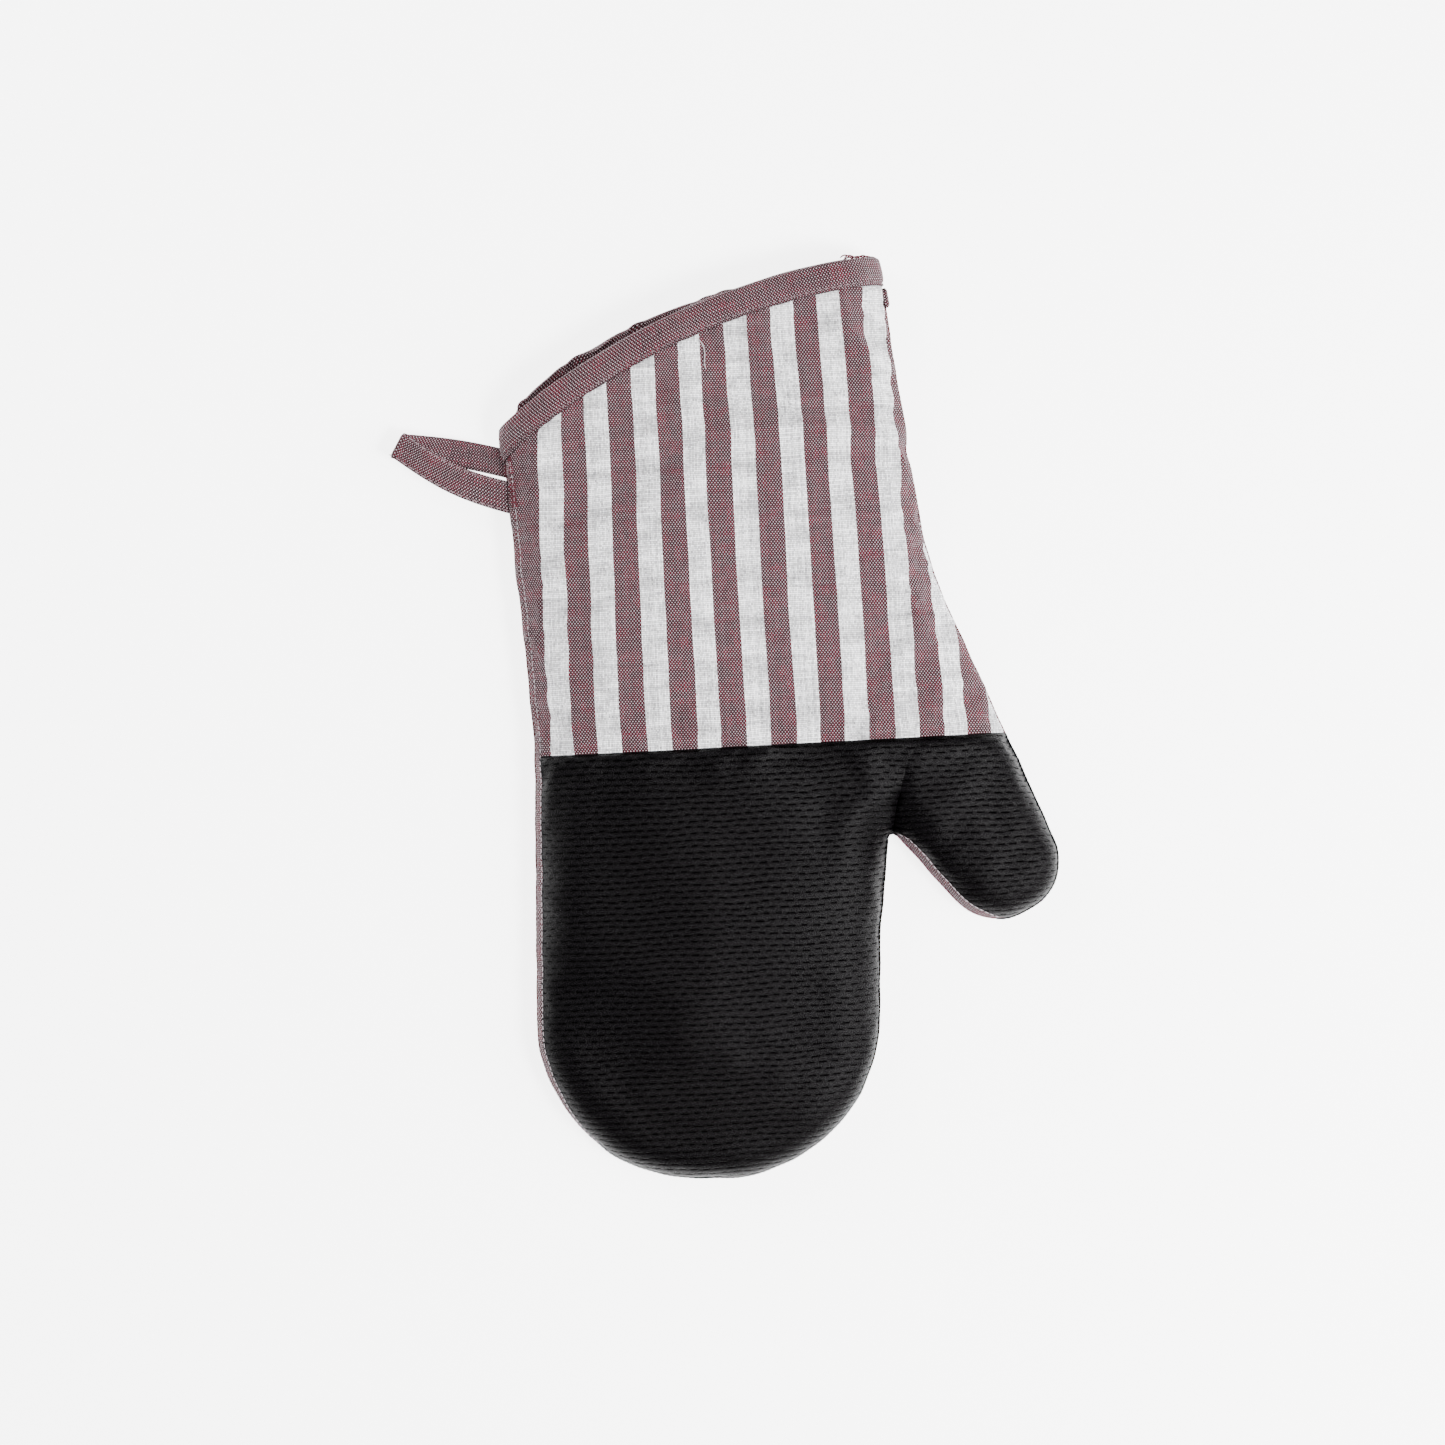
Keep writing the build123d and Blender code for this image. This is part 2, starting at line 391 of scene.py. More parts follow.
def thumb_side(at):
    """Which points belong to the thumb: below the cuff, and beyond the crease and its crotch."""
    crease = np.interp(at[:, 1], CREASE_ROW[:, 1], CREASE_ROW[:, 0])
    past = CROTCH[0] + (CROTCH[1] - at[:, 1]) * 0.1
    return (at[:, 1] < 0) & (at[:, 0] > np.where(at[:, 1] > CROTCH[1], crease, past))


# ---- mesh builders


def add_mesh(name, points, faces, material, uv):
    """A mesh object from points in millimetres, with its flat cloth place, in metres, as UV."""
    mesh = bpy.data.meshes.new(name)
    mesh.from_pydata((np.asarray(points, float) * MM).tolist(), [], [tuple(f) for f in faces])
    layer = mesh.uv_layers.new(name="cloth")
    corner = np.zeros(len(mesh.loops), np.int32)
    mesh.loops.foreach_get("vertex_index", corner)
    layer.data.foreach_set("uv", (np.asarray(uv, float)[corner] * MM).astype(np.float32).ravel())
    mesh.polygons.foreach_set("use_smooth", [True] * len(mesh.polygons))
    mesh.materials.append(material)
    mesh.validate()
    mesh.set_sharp_from_angle(angle=radians(55))
    return place_in_scene(name, mesh)


def place_in_scene(name, data):
    """A new object of that name in the scene."""
    made = bpy.data.objects.new(name, data)
    bpy.context.scene.collection.objects.link(made)
    return made


def slab(name, faces, top, under, material, uv):
    """A closed sheet between its outer and inner points; faces are wound to face outwards."""
    faces = np.asarray(faces)
    used, compact = np.unique(faces, return_inverse=True)
    compact = compact.reshape(faces.shape)
    count = len(used)
    sides = {(int(a), int(b)): True for face in compact for a, b in zip(face, np.roll(face, -1))}
    rim = [(b, a, a + count, b + count) for a, b in sides if (b, a) not in sides]
    every = [*compact, *(compact[:, ::-1] + count), *rim]
    both = np.vstack([top[used], under[used]])
    return add_mesh(name, both, every, material, np.vstack([uv[used], uv[used]]))


def grid_faces(rows, columns):
    """Quads over a grid of points stored row by row."""
    corner = np.add.outer(np.arange(rows - 1) * columns, np.arange(columns - 1)).ravel()
    return corner[:, None] + [0, columns, columns + 1, 1]


def ring_faces(rows, columns, seam):
    """The same, with each row closed into a ring by quads that have those corners."""
    return np.vstack([grid_faces(rows, columns), np.arange(rows - 1)[:, None] * columns + seam])


def vertex_normals(points, faces):
    """Unit normals of a mesh's points, averaged over its faces by area."""
    total = np.zeros_like(points)
    faces = np.asarray(faces)
    corners = points[faces]
    normal = np.cross(corners[:, 1] - corners[:, 0], corners[:, -1] - corners[:, 0])
    for k in range(corners.shape[1]):
        np.add.at(total, faces[:, k], normal)
    return units(total)


def averaged(values, faces, rounds):
    """Values at a mesh's points, each brought to the mean of its neighbours, that many times."""
    pairs = np.vstack([faces[:, [0, 1]], faces[:, [1, 2]], faces[:, [2, 0]]])
    pairs = np.unique(np.vstack([pairs, pairs[:, ::-1]]), axis=0)
    weight = np.maximum(np.bincount(pairs[:, 0], minlength=len(values)), 1)
    for _ in range(rounds):
        total = np.zeros_like(values)
        np.add.at(total, pairs[:, 0], values[pairs[:, 1]])
        values = (values + total) / (1 + weight.reshape((-1,) + (1,) * (values.ndim - 1)))
    return values


SIDES = 6  # of every thread
AROUND = [(cos(a), sin(a)) for a in np.linspace(0, 2 * pi, SIDES, endpoint=False)]


def tube_faces(start, rings):
    """Faces of a closed tube with that many rings, whose first point has number start."""
    faces = []
    for first in range(start, start + (rings - 1) * SIDES, SIDES):
        for k in range(SIDES):
            a, b = first + k, first + (k + 1) % SIDES
            faces.append((a, b, b + SIDES, a + SIDES))
    last = start + (rings - 1) * SIDES
    return faces + [tuple(range(start + SIDES - 1, start - 1, -1)), tuple(range(last, last + SIDES))]


def beads(name, centres, ways, ups, length, width, height, material):
    """Short stitches: a rounded capsule at each centre, along its way, standing on its up."""
    rings = [(-0.5, 0.15), (-0.4, 0.75), (0.0, 1.0), (0.4, 0.75), (0.5, 0.15)]
    points, faces, uv = [], [], []
    for centre, way, up in zip(centres, ways, ups):
        way = unit(way)
        side = unit(np.cross(up, way))
        up = np.cross(way, side)
        faces += tube_faces(len(points), len(rings))
        for along, girth in rings:
            for c, s in AROUND:
                offset = side * c * width / 2 * girth + up * s * height / 2 * girth
                points.append(centre + way * along * length + offset)
                uv.append((along * length, c))
    return add_mesh(name, points, faces, material, uv)


# ---- materials


class Value:
    """A number computed in a node tree, which takes part in sums like any other number."""

    def __init__(self, nodes, socket):
        self.nodes = nodes
        self.socket = socket

    def __add__(self, other):
        return self.nodes.math("ADD", self, other)

    def __sub__(self, other):
        return self.nodes.math("SUBTRACT", self, other)

    def __rsub__(self, other):
        return self.nodes.math("SUBTRACT", other, self)

    def __mul__(self, other):
        return self.nodes.math("MULTIPLY", self, other)

    def __truediv__(self, other):
        return self.nodes.math("DIVIDE", self, other)

    def __pow__(self, other):
        return self.nodes.math("POWER", self, other)

    def __gt__(self, other):
        return self.nodes.math("GREATER_THAN", self, other)

    def __lt__(self, other):
        return self.nodes.math("LESS_THAN", self, other)

    def __abs__(self):
        return self.nodes.math("ABSOLUTE", self)

    def floor(self):
        return self.nodes.math("FLOOR", self)

    def fract(self):
        return self.nodes.math("FRACT", self)


class Nodes:
    """Builds a material's node tree with short calls."""

    def __init__(self, name):
        self.material = bpy.data.materials.new(name)
        self.material.use_nodes = True
        self.tree = self.material.node_tree
        self.shader = self.tree.nodes["Principled BSDF"]

    def put(self, socket, value):
        """Links a computed value to the socket, or sets a plain number or colour on it."""
        if isinstance(value, Value):
            self.tree.links.new(value.socket, socket)
        elif value is not None:
            socket.default_value = (*value, 1) if isinstance(value, tuple) else value

    def node(self, kind, inputs=(), **settings):
        """A new node with those settings, and its first inputs filled."""
        node = self.tree.nodes.new(kind)
        for key, setting in settings.items():
            setattr(node, key, setting)
        for socket, value in zip(node.inputs, inputs):
            self.put(socket, value)
        return node

    def math(self, operation, a, b=None):
        return Value(self, self.node("ShaderNodeMath", (a, b), operation=operation).outputs[0])

    def mix(self, share, a, b, blend="MIX"):
        node = self.node("ShaderNodeMix", data_type="RGBA", blend_type=blend)
        for name, value in (("Factor", share), ("A", a), ("B", b)):
            self.put(node.inputs[name], value)
        return Value(self, node.outputs["Result"])

    def ramp(self, value, low, high, to_low=0.0, to_high=1.0):
        """The value's place between low and high, eased, as a number between the last two."""
        inputs = (value, low, high, to_low, to_high)
        node = self.node("ShaderNodeMapRange", inputs, interpolation_type="SMOOTHSTEP")
        return Value(self, node.outputs[0])

    def place(self):
        """The point's flat place in the cloth, in millimetres, across and along."""
        uv = Value(self, self.node("ShaderNodeUVMap", uv_map="cloth").outputs[0])
        split = self.node("ShaderNodeSeparateXYZ", (uv,))
        return [Value(self, split.outputs[k]) * 1000.0 for k in (0, 1)]

    def vector(self, x, y, z=0.0):
        return Value(self, self.node("ShaderNodeCombineXYZ", (x, y, z)).outputs[0])

    def noise(self, x, y, scale_x, scale_y, detail=2.0, z=0.0):
        """Soft noise over the cloth with features of that size in millimetres."""
        node = self.node("ShaderNodeTexNoise")
        inputs = {"Scale": 1.0, "Detail": detail, "Vector": self.vector(x / scale_x, y / scale_y, z)}
        for name, value in inputs.items():
            self.put(node.inputs[name], value)
        return Value(self, node.outputs["Fac"])

    def random(self, x, y, z=0.0):
        """A fixed random number for each whole x, y."""
        node = self.node("ShaderNodeTexWhiteNoise")
        self.put(node.inputs["Vector"], self.vector(x, y, z))
        return Value(self, node.outputs["Value"])

    def finish(self, colour, height, depth_mm, roughness, specular, sheen=0.0, tint=(1, 1, 1)):
        """Wires up colour and bump, and sets the even numbers on the shader itself."""
        bump = self.node("ShaderNodeBump")
        bump.inputs["Distance"].default_value = depth_mm * MM
        bump.inputs["Strength"].default_value = 1.0
        self.put(bump.inputs["Height"], height)
        inputs = {"Base Color": colour, "Normal": Value(self, bump.outputs[0])}
        inputs |= {"Roughness": roughness, "Specular IOR Level": specular}
        if sheen:
            inputs |= {"Sheen Weight": sheen, "Sheen Roughness": 0.45, "Sheen Tint": tint}
        for name, value in inputs.items():
            self.put(self.shader.inputs[name], value)
        return self.material


END_PITCH = 0.54  # between threads across the cloth
PICK_PITCH = 0.70  # between threads along it


def weave(n, x, y, end_pitch=END_PITCH, pick_pitch=PICK_PITCH):
    """Plain weave: which yarn is on top, the cloth's relief, and each yarn's own number."""
    across = (x + (n.noise(x, y, 30.0, 60.0) - 0.5) * 2.0) / end_pitch
    along = (y + (n.noise(x, y, 60.0, 30.0, z=7.0) - 0.5) * 2.0) / pick_pitch
    end, pick = across.floor(), along.floor()
    in_end = across.fract() * 2.0 - 1.0
    in_pick = along.fract() * 2.0 - 1.0
    crown_end = 1.0 - in_end * in_end
    crown_pick = 1.0 - in_pick * in_pick
    warp_on_top = ((end + pick) * 0.5).fract() > 0.25
    float_warp = crown_end * (crown_pick * 0.55 + 0.45)
    float_weft = crown_pick * (crown_end * 0.55 + 0.45)
    relief = warp_on_top * float_warp + (1.0 - warp_on_top) * float_weft
    return warp_on_top, relief, end, pick


DARK_YARN = (0.013, 0.004, 0.006)
RED_YARN = (0.125, 0.006, 0.018)
BLEACHED_YARN = (0.90, 0.89, 0.91)
GREY_YARN = (0.36, 0.35, 0.38)
WHITE_YARN = (0.62, 0.525, 0.555)
PINK_YARN = (0.46, 0.21, 0.26)
STRIPE_FAN = -0.0003  # the share by which the stripes narrow with each millimetre up the cuff


def chambray_colours(n, x, y, end, pick):
    """The dark warp, near black with wine-red lengths, and the white weft with a pink blush."""
    red_length = n.ramp(n.noise(end * 3.7, y, 2.0, 5.0, 3.0), 0.42, 0.60)
    red_patch = n.ramp(n.noise(x, y, 9.0, 4.0, 3.0, z=3.0), 0.38, 0.68, 0.45, 1.0)
    warp = n.mix((red_length * 0.65 + 0.35) * red_patch, DARK_YARN, RED_YARN)
    blush = n.random(pick, (x / 6.0).floor()) * 0.6
    return warp, n.mix(blush * red_patch, WHITE_YARN, PINK_YARN)


def yarn_evenness(n, end, pick, amount):
    """Each yarn a little lighter or darker than the next, around 1."""
    return (n.random(end, 11.0) + n.random(pick, 17.0)) * amount + (1.0 - amount)


def shaded(n, colour, shade):
    """The colour, darkened by a shade from 0 to 1."""
    return n.mix(1.0, colour, n.vector(shade, shade, shade), "MULTIPLY")


def linen(n, x, y, on_top, relief, end, pick):
    """The bleached yarns of the white stripes, uneven and with grey slubs, with painted shade between the
    yarns and in soft patches as of wrinkles.
    """
    slub = n.ramp(n.noise(x, pick * 5.1, 14.0, 3.0), 0.56, 0.74)
    grey = n.mix(slub * 0.45, BLEACHED_YARN, GREY_YARN)
    fleck = n.random(end, pick, 5.0) ** 0.5
    # Painted shade between the yarns from the relief, times the yarns' uneven tone and flecks
    shade = (relief * 0.95 + 0.24) * yarn_evenness(n, end, pick, 0.30) * (fleck * 0.75 + 0.53)
    down = n.noise(x, y, 0.7, 9.0, z=13.0)
    across = n.noise(x, y, 12.0, 0.7, z=15.0)
    # Painted shade: broad soft patches, as the shade of shallow wrinkles
    painted_wrinkle_shade = n.ramp(n.noise(x, y, 17.0, 8.0, 3.0, z=21.0), 0.34, 0.60, 0.66, 1.0)
    shade = shade * ((down + across) * 0.72 + 0.30) * painted_wrinkle_shade
    return shaded(n, n.mix(on_top, grey, BLEACHED_YARN), shade)


def chambray(name, stripes=False, ribbed=False):
    """Coarse chambray, plain, with woven white stripes, or as a ribbed strip with a painted shadow along
    its lower edge.
    """
    n = Nodes(name)
    x, y = n.place()
    light = 1.0
    if ribbed:
        rib = n.ramp(n.math("PINGPONG", x, END_PITCH), 0.1, END_PITCH - 0.1, 0.62, 1.42)
        # Painted shadow: the strip is darkened over the first 0.8 mm of its width, as shade under its
        # folded edge; the rib is a pattern of darker and lighter ends
        light = rib * n.ramp(y, 0.1, 0.8, 0.35, 1.0)
    if stripes:
        x = x / (y * STRIPE_FAN + 1.0)
    woven = weave(n, x, y)
    on_top, relief, end, pick = woven
    warp, weft = chambray_colours(n, x, y, end, pick)
    # Painted shade: each yarn darkens towards its edges with the relief, as shade between the yarns, the
    # weft far more than the warp; even is the yarns' uneven tone times light, which holds the rib and the
    # painted edge shadow
    even = yarn_evenness(n, end, pick, 0.22) * light
    weft = shaded(n, weft, (relief**3.6 * 0.99 + 0.01) * even)
    warp = shaded(n, warp, (relief * 0.6 + 0.4) * light)
    colour = n.mix(on_top, weft, warp)
    if stripes:
        at = end * END_PITCH / STRIPE_PITCH
        white = abs((at + 0.5).fract() - 0.5) < STRIPE_WHITE / STRIPE_PITCH / 2
        white = white * (at > FIRST_STRIPE - 0.4)
        colour = n.mix(white, colour, linen(n, x, y, *woven))
    height = relief + n.noise(x, y, 0.16, 0.16, 3.0) * 0.4
    return n.finish(colour, height, 0.12, 0.9, specular=0.12, sheen=0.06, tint=(1.0, 0.9, 0.92))


DASH_PITCH = 4.35
ROW_PITCH = 2.25
# The grip's colour painted lit, on the lumps' tops, and painted in shade, everywhere else
GRIP_LIT_BLACK = (0.0056, 0.0050, 0.0058)
GRIP_SHADED_BLACK = (0.0004, 0.0003, 0.0004)
# The painted shade in the pressed dashes
GROOVE_SHADE_BLACK = (0.0002, 0.0002, 0.0002)
DUST_GREY = (0.020, 0.018, 0.020)


def grip_surface():
    """Black grip cloth: rows of short pressed dashes, set like bricks, over a fine grain, with painted
    shade in the dashes and painted highlight on the lumps between them.
    """
    n = Nodes("black_grip")
    x, y = n.place()
    row_at = (y + (n.noise(x, y, 26.0, 26.0) - 0.5) * 2.4) / ROW_PITCH
    row = row_at.floor()
    dash_at = x / DASH_PITCH + (n.random(row, 3.0) * 0.12 + row * 0.5)
    dash = dash_at.floor()
    uneven = n.random(dash, row)
    in_row = abs(row_at.fract() + (uneven * 0.22 - 0.61))
    in_dash = abs(dash_at.fract() - 0.5)
    long_part = n.ramp(in_dash - (uneven * 0.15 + 0.20), -0.06, 0.06, 1.0, 0.0)
    groove = n.ramp(in_row, 0.03, 0.15, 1.0, 0.0) * long_part
    lump = n.ramp(in_row, 0.0, 0.45) * n.ramp(in_dash, 0.0, 0.42, 0.6, 1.0)
    grain = n.noise(x, y, 0.42, 0.36, 3.0)
    clump = n.noise(x, y, 1.3, 0.9, 3.0, z=9.0)
    speck = n.ramp(grain, 0.36, 0.66)
    height = grain * 0.9 + clump * 0.9 + lump * 0.5 - groove
    dust = n.ramp(n.noise(x, y, 0.75, 0.75, 4.0, z=5.0), 0.60, 0.80)
    # Painted highlight: the lumps' tops are painted lighter, more so where grain and clumps gather; the
    # rest keeps the painted shade colour
    colour = n.mix(lump * clump * (speck * 2.2 + 0.2), GRIP_SHADED_BLACK, GRIP_LIT_BLACK)
    # Painted shade: the pressed dashes are painted near black
    colour = n.mix(groove, colour, GROOVE_SHADE_BLACK)
    colour = n.mix(dust * 0.30, colour, DUST_GREY)
    gloss = n.math("MAXIMUM", groove * -0.06 + (speck * 0.09 + 0.012), 0.0)
    return n.finish(colour, height, 0.17, grain * 0.2 + 0.26, specular=gloss)


def soft_cloth(name, colour, pitch, depth):
    """Plain cloth in one colour, such as lining."""
    n = Nodes(name)
    x, y = n.place()
    relief = weave(n, x, y, pitch, pitch)[1]
    # Painted shade: darker towards each thread's edges by the weave's relief; the noise is uneven tone
    shade = (relief * 0.4 + 0.6) * (n.noise(x, y, 5.0, 5.0, 3.0) * 0.3 + 0.85)
    return n.finish(shaded(n, colour, shade), relief, depth, 0.9, specular=0.2, sheen=0.1)


def thread(name, colour):
    """Twisted sewing thread."""
    n = Nodes(name)
    x, y = n.place()
    ply = n.math("SINE", x * (2 * pi / 0.35) + y * 3.0)
    # Painted shade: the colour darkens along the twist's grooves, with the same wave as the bump
    return n.finish(shaded(n, colour, ply * 0.16 + 0.84), ply, 0.06, 0.75, specular=0.15)


STRIPED = chambray("striped_chambray", stripes=True)
PLAIN = chambray("plain_chambray")
BOUND = chambray("binding_chambray", ribbed=True)
GRIP = grip_surface()
WADDING = soft_cloth("wadding", (0.74, 0.72, 0.70), 1.4, 0.3)
LINED = soft_cloth("lining_cotton", (0.34, 0.30, 0.31), 0.45, 0.1)
LIGHT_THREAD = thread("light_thread", (0.55, 0.48, 0.51))
DARK_THREAD = thread("dark_thread", (0.006, 0.005, 0.006))
WINE_THREAD = thread("wine_thread", (0.15, 0.02, 0.035))
ROSE_THREAD = thread("rose_thread", (0.30, 0.20, 0.22))

# ---- the cloth

points, triangles = pattern_mesh()
on_edge = nearest_on(points, SEWN)[0] < 0.02
depth_in, _, _ = nearest_on(points, LONG_EDGE)
EVEN_EDGE = spaced(rounded(CORNERS), STEP)
even_depth, even_foot, _ = nearest_on(points, EVEN_EDGE)

CLOTH_EASE = 0.5  # the share of the turned-over edge's extra length that the stripes show

# How much longer the turned-over edge is than it looks from above, by distance in
profile_d = np.linspace(0, EDGE_WIDTH, 120)
extra_steps = np.hypot(np.diff(profile_d), np.diff(edge_rise(profile_d))) - np.diff(profile_d)
profile_extra = np.concatenate([np.cumsum(extra_steps[::-1])[::-1], [0]])


def cloth_place(at, d, nearest):
    """Where the points of a panel lay in the flat cloth."""
    way = at - nearest
    way[~inside_loop(at, EVEN_EDGE)] *= -1
    way /= np.maximum(np.linalg.norm(way, axis=1), 1e-6)[:, None]
    return at - way * CLOTH_EASE * np.interp(d, profile_d, profile_extra)[:, None]


flat_place = cloth_place(points, even_depth, even_foot)
inner_way = np.zeros((len(points), 3))
edge_index = [np.linalg.norm(SEWN - p, axis=1).argmin() for p in points[on_edge]]
inner_way[on_edge, :2] = inward(SEWN)[edge_index]


def inside_direction(surface, faces):
    """Unit directions into the mitt, smoothed so that inner layers don't cross themselves."""
    way = -vertex_normals(surface, faces)
    way[on_edge] = inner_way[on_edge]
    soft = averaged(way, triangles, 4)
    soft[on_edge] = inner_way[on_edge]
    return units(soft)


def slipped_back(at, depth):
    """The back layer slips out of the mouth a little on the outer side."""
    share = np.clip((at[:, 0] - LEFT_CORNER[0]) / (RIGHT_CORNER[0] - LEFT_CORNER[0]), 0, 1)
    slip = BACK_SLIP * np.sin(pi * np.clip(share / 0.8, 0, 1) ** 0.6)
    slip = slip * smooth(1 - from_mouth(at) / 45.0) * smooth(depth / 10)
    return at[:, :2] + units(at[:, :2] - MOUTH_CENTRE) * slip[:, None]


FRONT = np.column_stack([points, palm_side(points)])
FRONT[on_edge, 2] = SEAM_Z
BACK = np.column_stack([slipped_back(points, depth_in), back_side(points)])
BACK[on_edge] = FRONT[on_edge]
reverse = triangles[:, ::-1]
# The front's points come after the back's where both are in one mesh, which share their edge
FRONT_INDEX = np.arange(len(points)) + np.where(on_edge, 0, len(points))

SETTLE_FRAMES = 16
SETTLE_LIMIT = 1.8  # the most a point may move as the cloth settles
SLACK = 0.026  # how much larger than its stuffed form the cloth was cut
GRIP_STIFFNESS = 0.65  # the share of the puckering that the thicker grip cloth resists
CLOTH_SETTINGS = {
    "vertex_group_mass": "sewn",
    "quality": 6,
    "mass": 0.15,
    "tension_stiffness": 12,
    "compression_stiffness": 12,
    "shear_stiffness": 5,
    "bending_stiffness": 0.6,
    "shrink_min": -SLACK,
    "use_pressure": True,
    "uniform_pressure_force": 1.2,
}


def settled(front, back):
    """Front and back after the slack cloth has puckered against its seams, in a cloth simulation."""
    count = len(points)
    skin = np.vstack([back, front])
    faces = np.vstack([reverse, FRONT_INDEX[triangles]]).tolist()
    mesh = bpy.data.meshes.new("settling")
    mesh.from_pydata((skin * MM).tolist(), [], faces)
    cloth = place_in_scene("settling", mesh)
    near_seam = (np.abs(points[:, 1]) < 0.6) | (from_mouth(points) < BINDING_WIDTH + 0.5)
    held = on_edge | near_seam | (nearest_on(points, CREASE_ROW)[0] < 1.5)
    quilted = quilt_distance(points) < 2.0
    pinned = np.flatnonzero(np.concatenate([held | quilted | (depth_in < 2.0), held]))
    group = cloth.vertex_groups.new(name="sewn")
    group.add([int(i) for i in pinned], 1.0, "REPLACE")
    settings = cloth.modifiers.new("settle", "CLOTH").settings
    for name, value in CLOTH_SETTINGS.items():
        setattr(settings, name, value)
    settings.effector_weights.gravity = 0.0
    scene = bpy.context.scene
    for number in range(1, SETTLE_FRAMES + 1):
        scene.frame_set(number)
    shape = cloth.evaluated_get(bpy.context.evaluated_depsgraph_get()).to_mesh()
    moved = np.zeros(len(shape.vertices) * 3)
    shape.vertices.foreach_get("co", moved)
    moved = moved.reshape(-1, 3) / MM - skin
    scene.frame_set(1)
    bpy.data.objects.remove(cloth)
    length = np.linalg.norm(moved, axis=1)
    moved *= (np.minimum(length, SETTLE_LIMIT) / np.maximum(length, 1e-9))[:, None]
    moved[count:] *= 1 - GRIP_STIFFNESS * smooth(-points[:, 1:] / 12)
    skin = skin + moved
    skin[:count, 2] = np.maximum(skin[:count, 2], 0.05)
    settled_back, settled_front = skin[:count], skin[count:]
    settled_front[on_edge] = settled_back[on_edge]
    return settled_front, settled_back


FRONT, BACK = settled(FRONT, BACK)


FRONT_TREE = BVHTree.FromPolygons(FRONT.tolist(), triangles.tolist())
BACK_TREE = BVHTree.FromPolygons(BACK.tolist(), reverse.tolist())


def pressed(depth, mouth):
    """How deep the padding reaches and how thick the lining is, both thinner near the edges."""
    open_up = smooth(depth / 9)
    padding = PADDING * (0.28 + 0.72 * open_up) * (0.75 + 0.25 * mouth)
    return CLOTH + 0.02 + padding, LINING * (0.5 + 0.5 * open_up)


def layered(surface, faces):
    """The faces between the layers, from the outside in."""
    way = inside_direction(surface, faces)
    padding, lining = pressed(depth_in, smooth(from_mouth(points) / 12))
    depths = [0, CLOTH, padding, padding + lining]
    return [surface + way * np.broadcast_to(depth, len(points))[:, None] for depth in depths]


front_layers = layered(FRONT, triangles)
back_layers = layered(BACK, reverse)

middle = points[triangles].mean(1)
of_thumb = thumb_side(middle)
of_hand = ~of_thumb
middle_depth, _, middle_place = nearest_on(middle, SEWN)
of_strip = middle_depth < np.interp(middle_place, along_line(SEWN), turned_over(SEWN))
of_cuff = (middle[:, 1] > 0) & ~of_strip
of_palm = of_hand & (middle[:, 1] < 0) & ~of_strip

# The thumb's direction and its length from the crotch
THUMB_WAY = unit(np.array([0.549, -0.837]))
THUMB_RUN = 34.0


def cut(name, side, select, top, material, slot, stands_for, body):
    """One layer of one panel as a solid sheet."""
    layers, faces = (front_layers, triangles) if side == "front" else (back_layers, reverse)
    faces, outer, inner, uv = faces[select], layers[top], layers[top + 1], flat_place
    flat = flat_place[triangles[select]]
    if side == "back" and top == 0:
        # The back cloth turns over the edge, so its strip on the palm side is one with it
        own = triangles[of_strip & (of_thumb if body == "thumb" else of_hand)]
        faces = np.vstack([faces, FRONT_INDEX[own]])
        outer, inner = np.vstack([outer, front_layers[0]]), np.vstack([inner, front_layers[1]])
        uv = np.vstack([uv, uv])
        flat = np.vstack([flat, flat_place[own]])
    piece = slab(name, faces, outer, inner, material, uv)
    belongs(piece, body, slot, *stands_for)
    if top == 1:
        return piece
    width, length = (flat.max((0, 1)) - flat.min((0, 1))) * MM
    a, b = flat[:, 1] - flat[:, 0], flat[:, 2] - flat[:, 0]
    area = float(np.abs(a[:, 0] * b[:, 1] - a[:, 1] * b[:, 0]).sum() / 2) * MM * MM
    return piece


def bend(piece, body):
    """For the fingers and the thumb the piece's transform is baked into its mesh; for any other body it
    rides that body whole.
    """
    if body == "fingers":
        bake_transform(piece)
    elif body == "thumb":
        end = CROTCH + THUMB_WAY * THUMB_RUN
        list(end * MM)
        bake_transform(piece)
    else:
        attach(piece, body)


def belongs(piece, body, slot, *stands_for):
    """The body the piece is baked for or rides, and the CAD nodes it stands for, which are hidden; its
    material slot is not used.
    """
    bend(piece, body)
    if stands_for:
        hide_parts(*stands_for)
    return piece


def make_layers():
    """Outer cloth, wadding and lining of both sides."""
    grip_nodes = ["grip_panel_hand", "grip_panel_fingers"]
    cut("striped_cuff", "front", of_cuff, 0, STRIPED, "striped_cloth", ["striped_cuff_panel"], "hand")
    cut("grip_palm", "front", of_palm, 0, GRIP, "grip_cloth", grip_nodes, "fingers")
    thumb_face = of_thumb & ~of_strip
    cut("grip_thumb", "front", thumb_face, 0, GRIP, "grip_cloth", ["grip_panel_thumb"], "thumb")
    parts = [("hand", of_hand, "fingers", ["hand", "fingers"]), ("thumb", of_thumb, "thumb", ["thumb"])]
    for label, select, body, ends in parts:
        nodes = [f"back_panel_{end}" for end in ends]
        cut(f"back_cloth_{label}", "back", select, 0, PLAIN, "plain_cloth", nodes, body)
        for side in ("front", "back"):
            nodes = [f"{side}_wadding_{end}" for end in ends]
            cut(f"{side}_padding_{label}", side, select, 1, WADDING, "wadding", nodes, body)
            nodes = [f"{side}_lining_{end}" for end in ends]
            cut(f"{side}_lining_cloth_{label}", side, select, 2, LINED, "lining", nodes, body)


# ---- binding

RING_STEP = 0.8
# The binding's section on the outer side: distance from the mouth's edge, height above the cloth
BINDING_OUTER = [(9.5, 0.30), (9.2, 0.80), (8.7, 0.92), (8.2, 0.50)]
BINDING_OUTER += [(7.7, 0.95), (6.5, 1.15), (4.5, 1.20), (2.2, 1.15)]
STITCH_CHANNEL = 3  # the stitches' place in that section


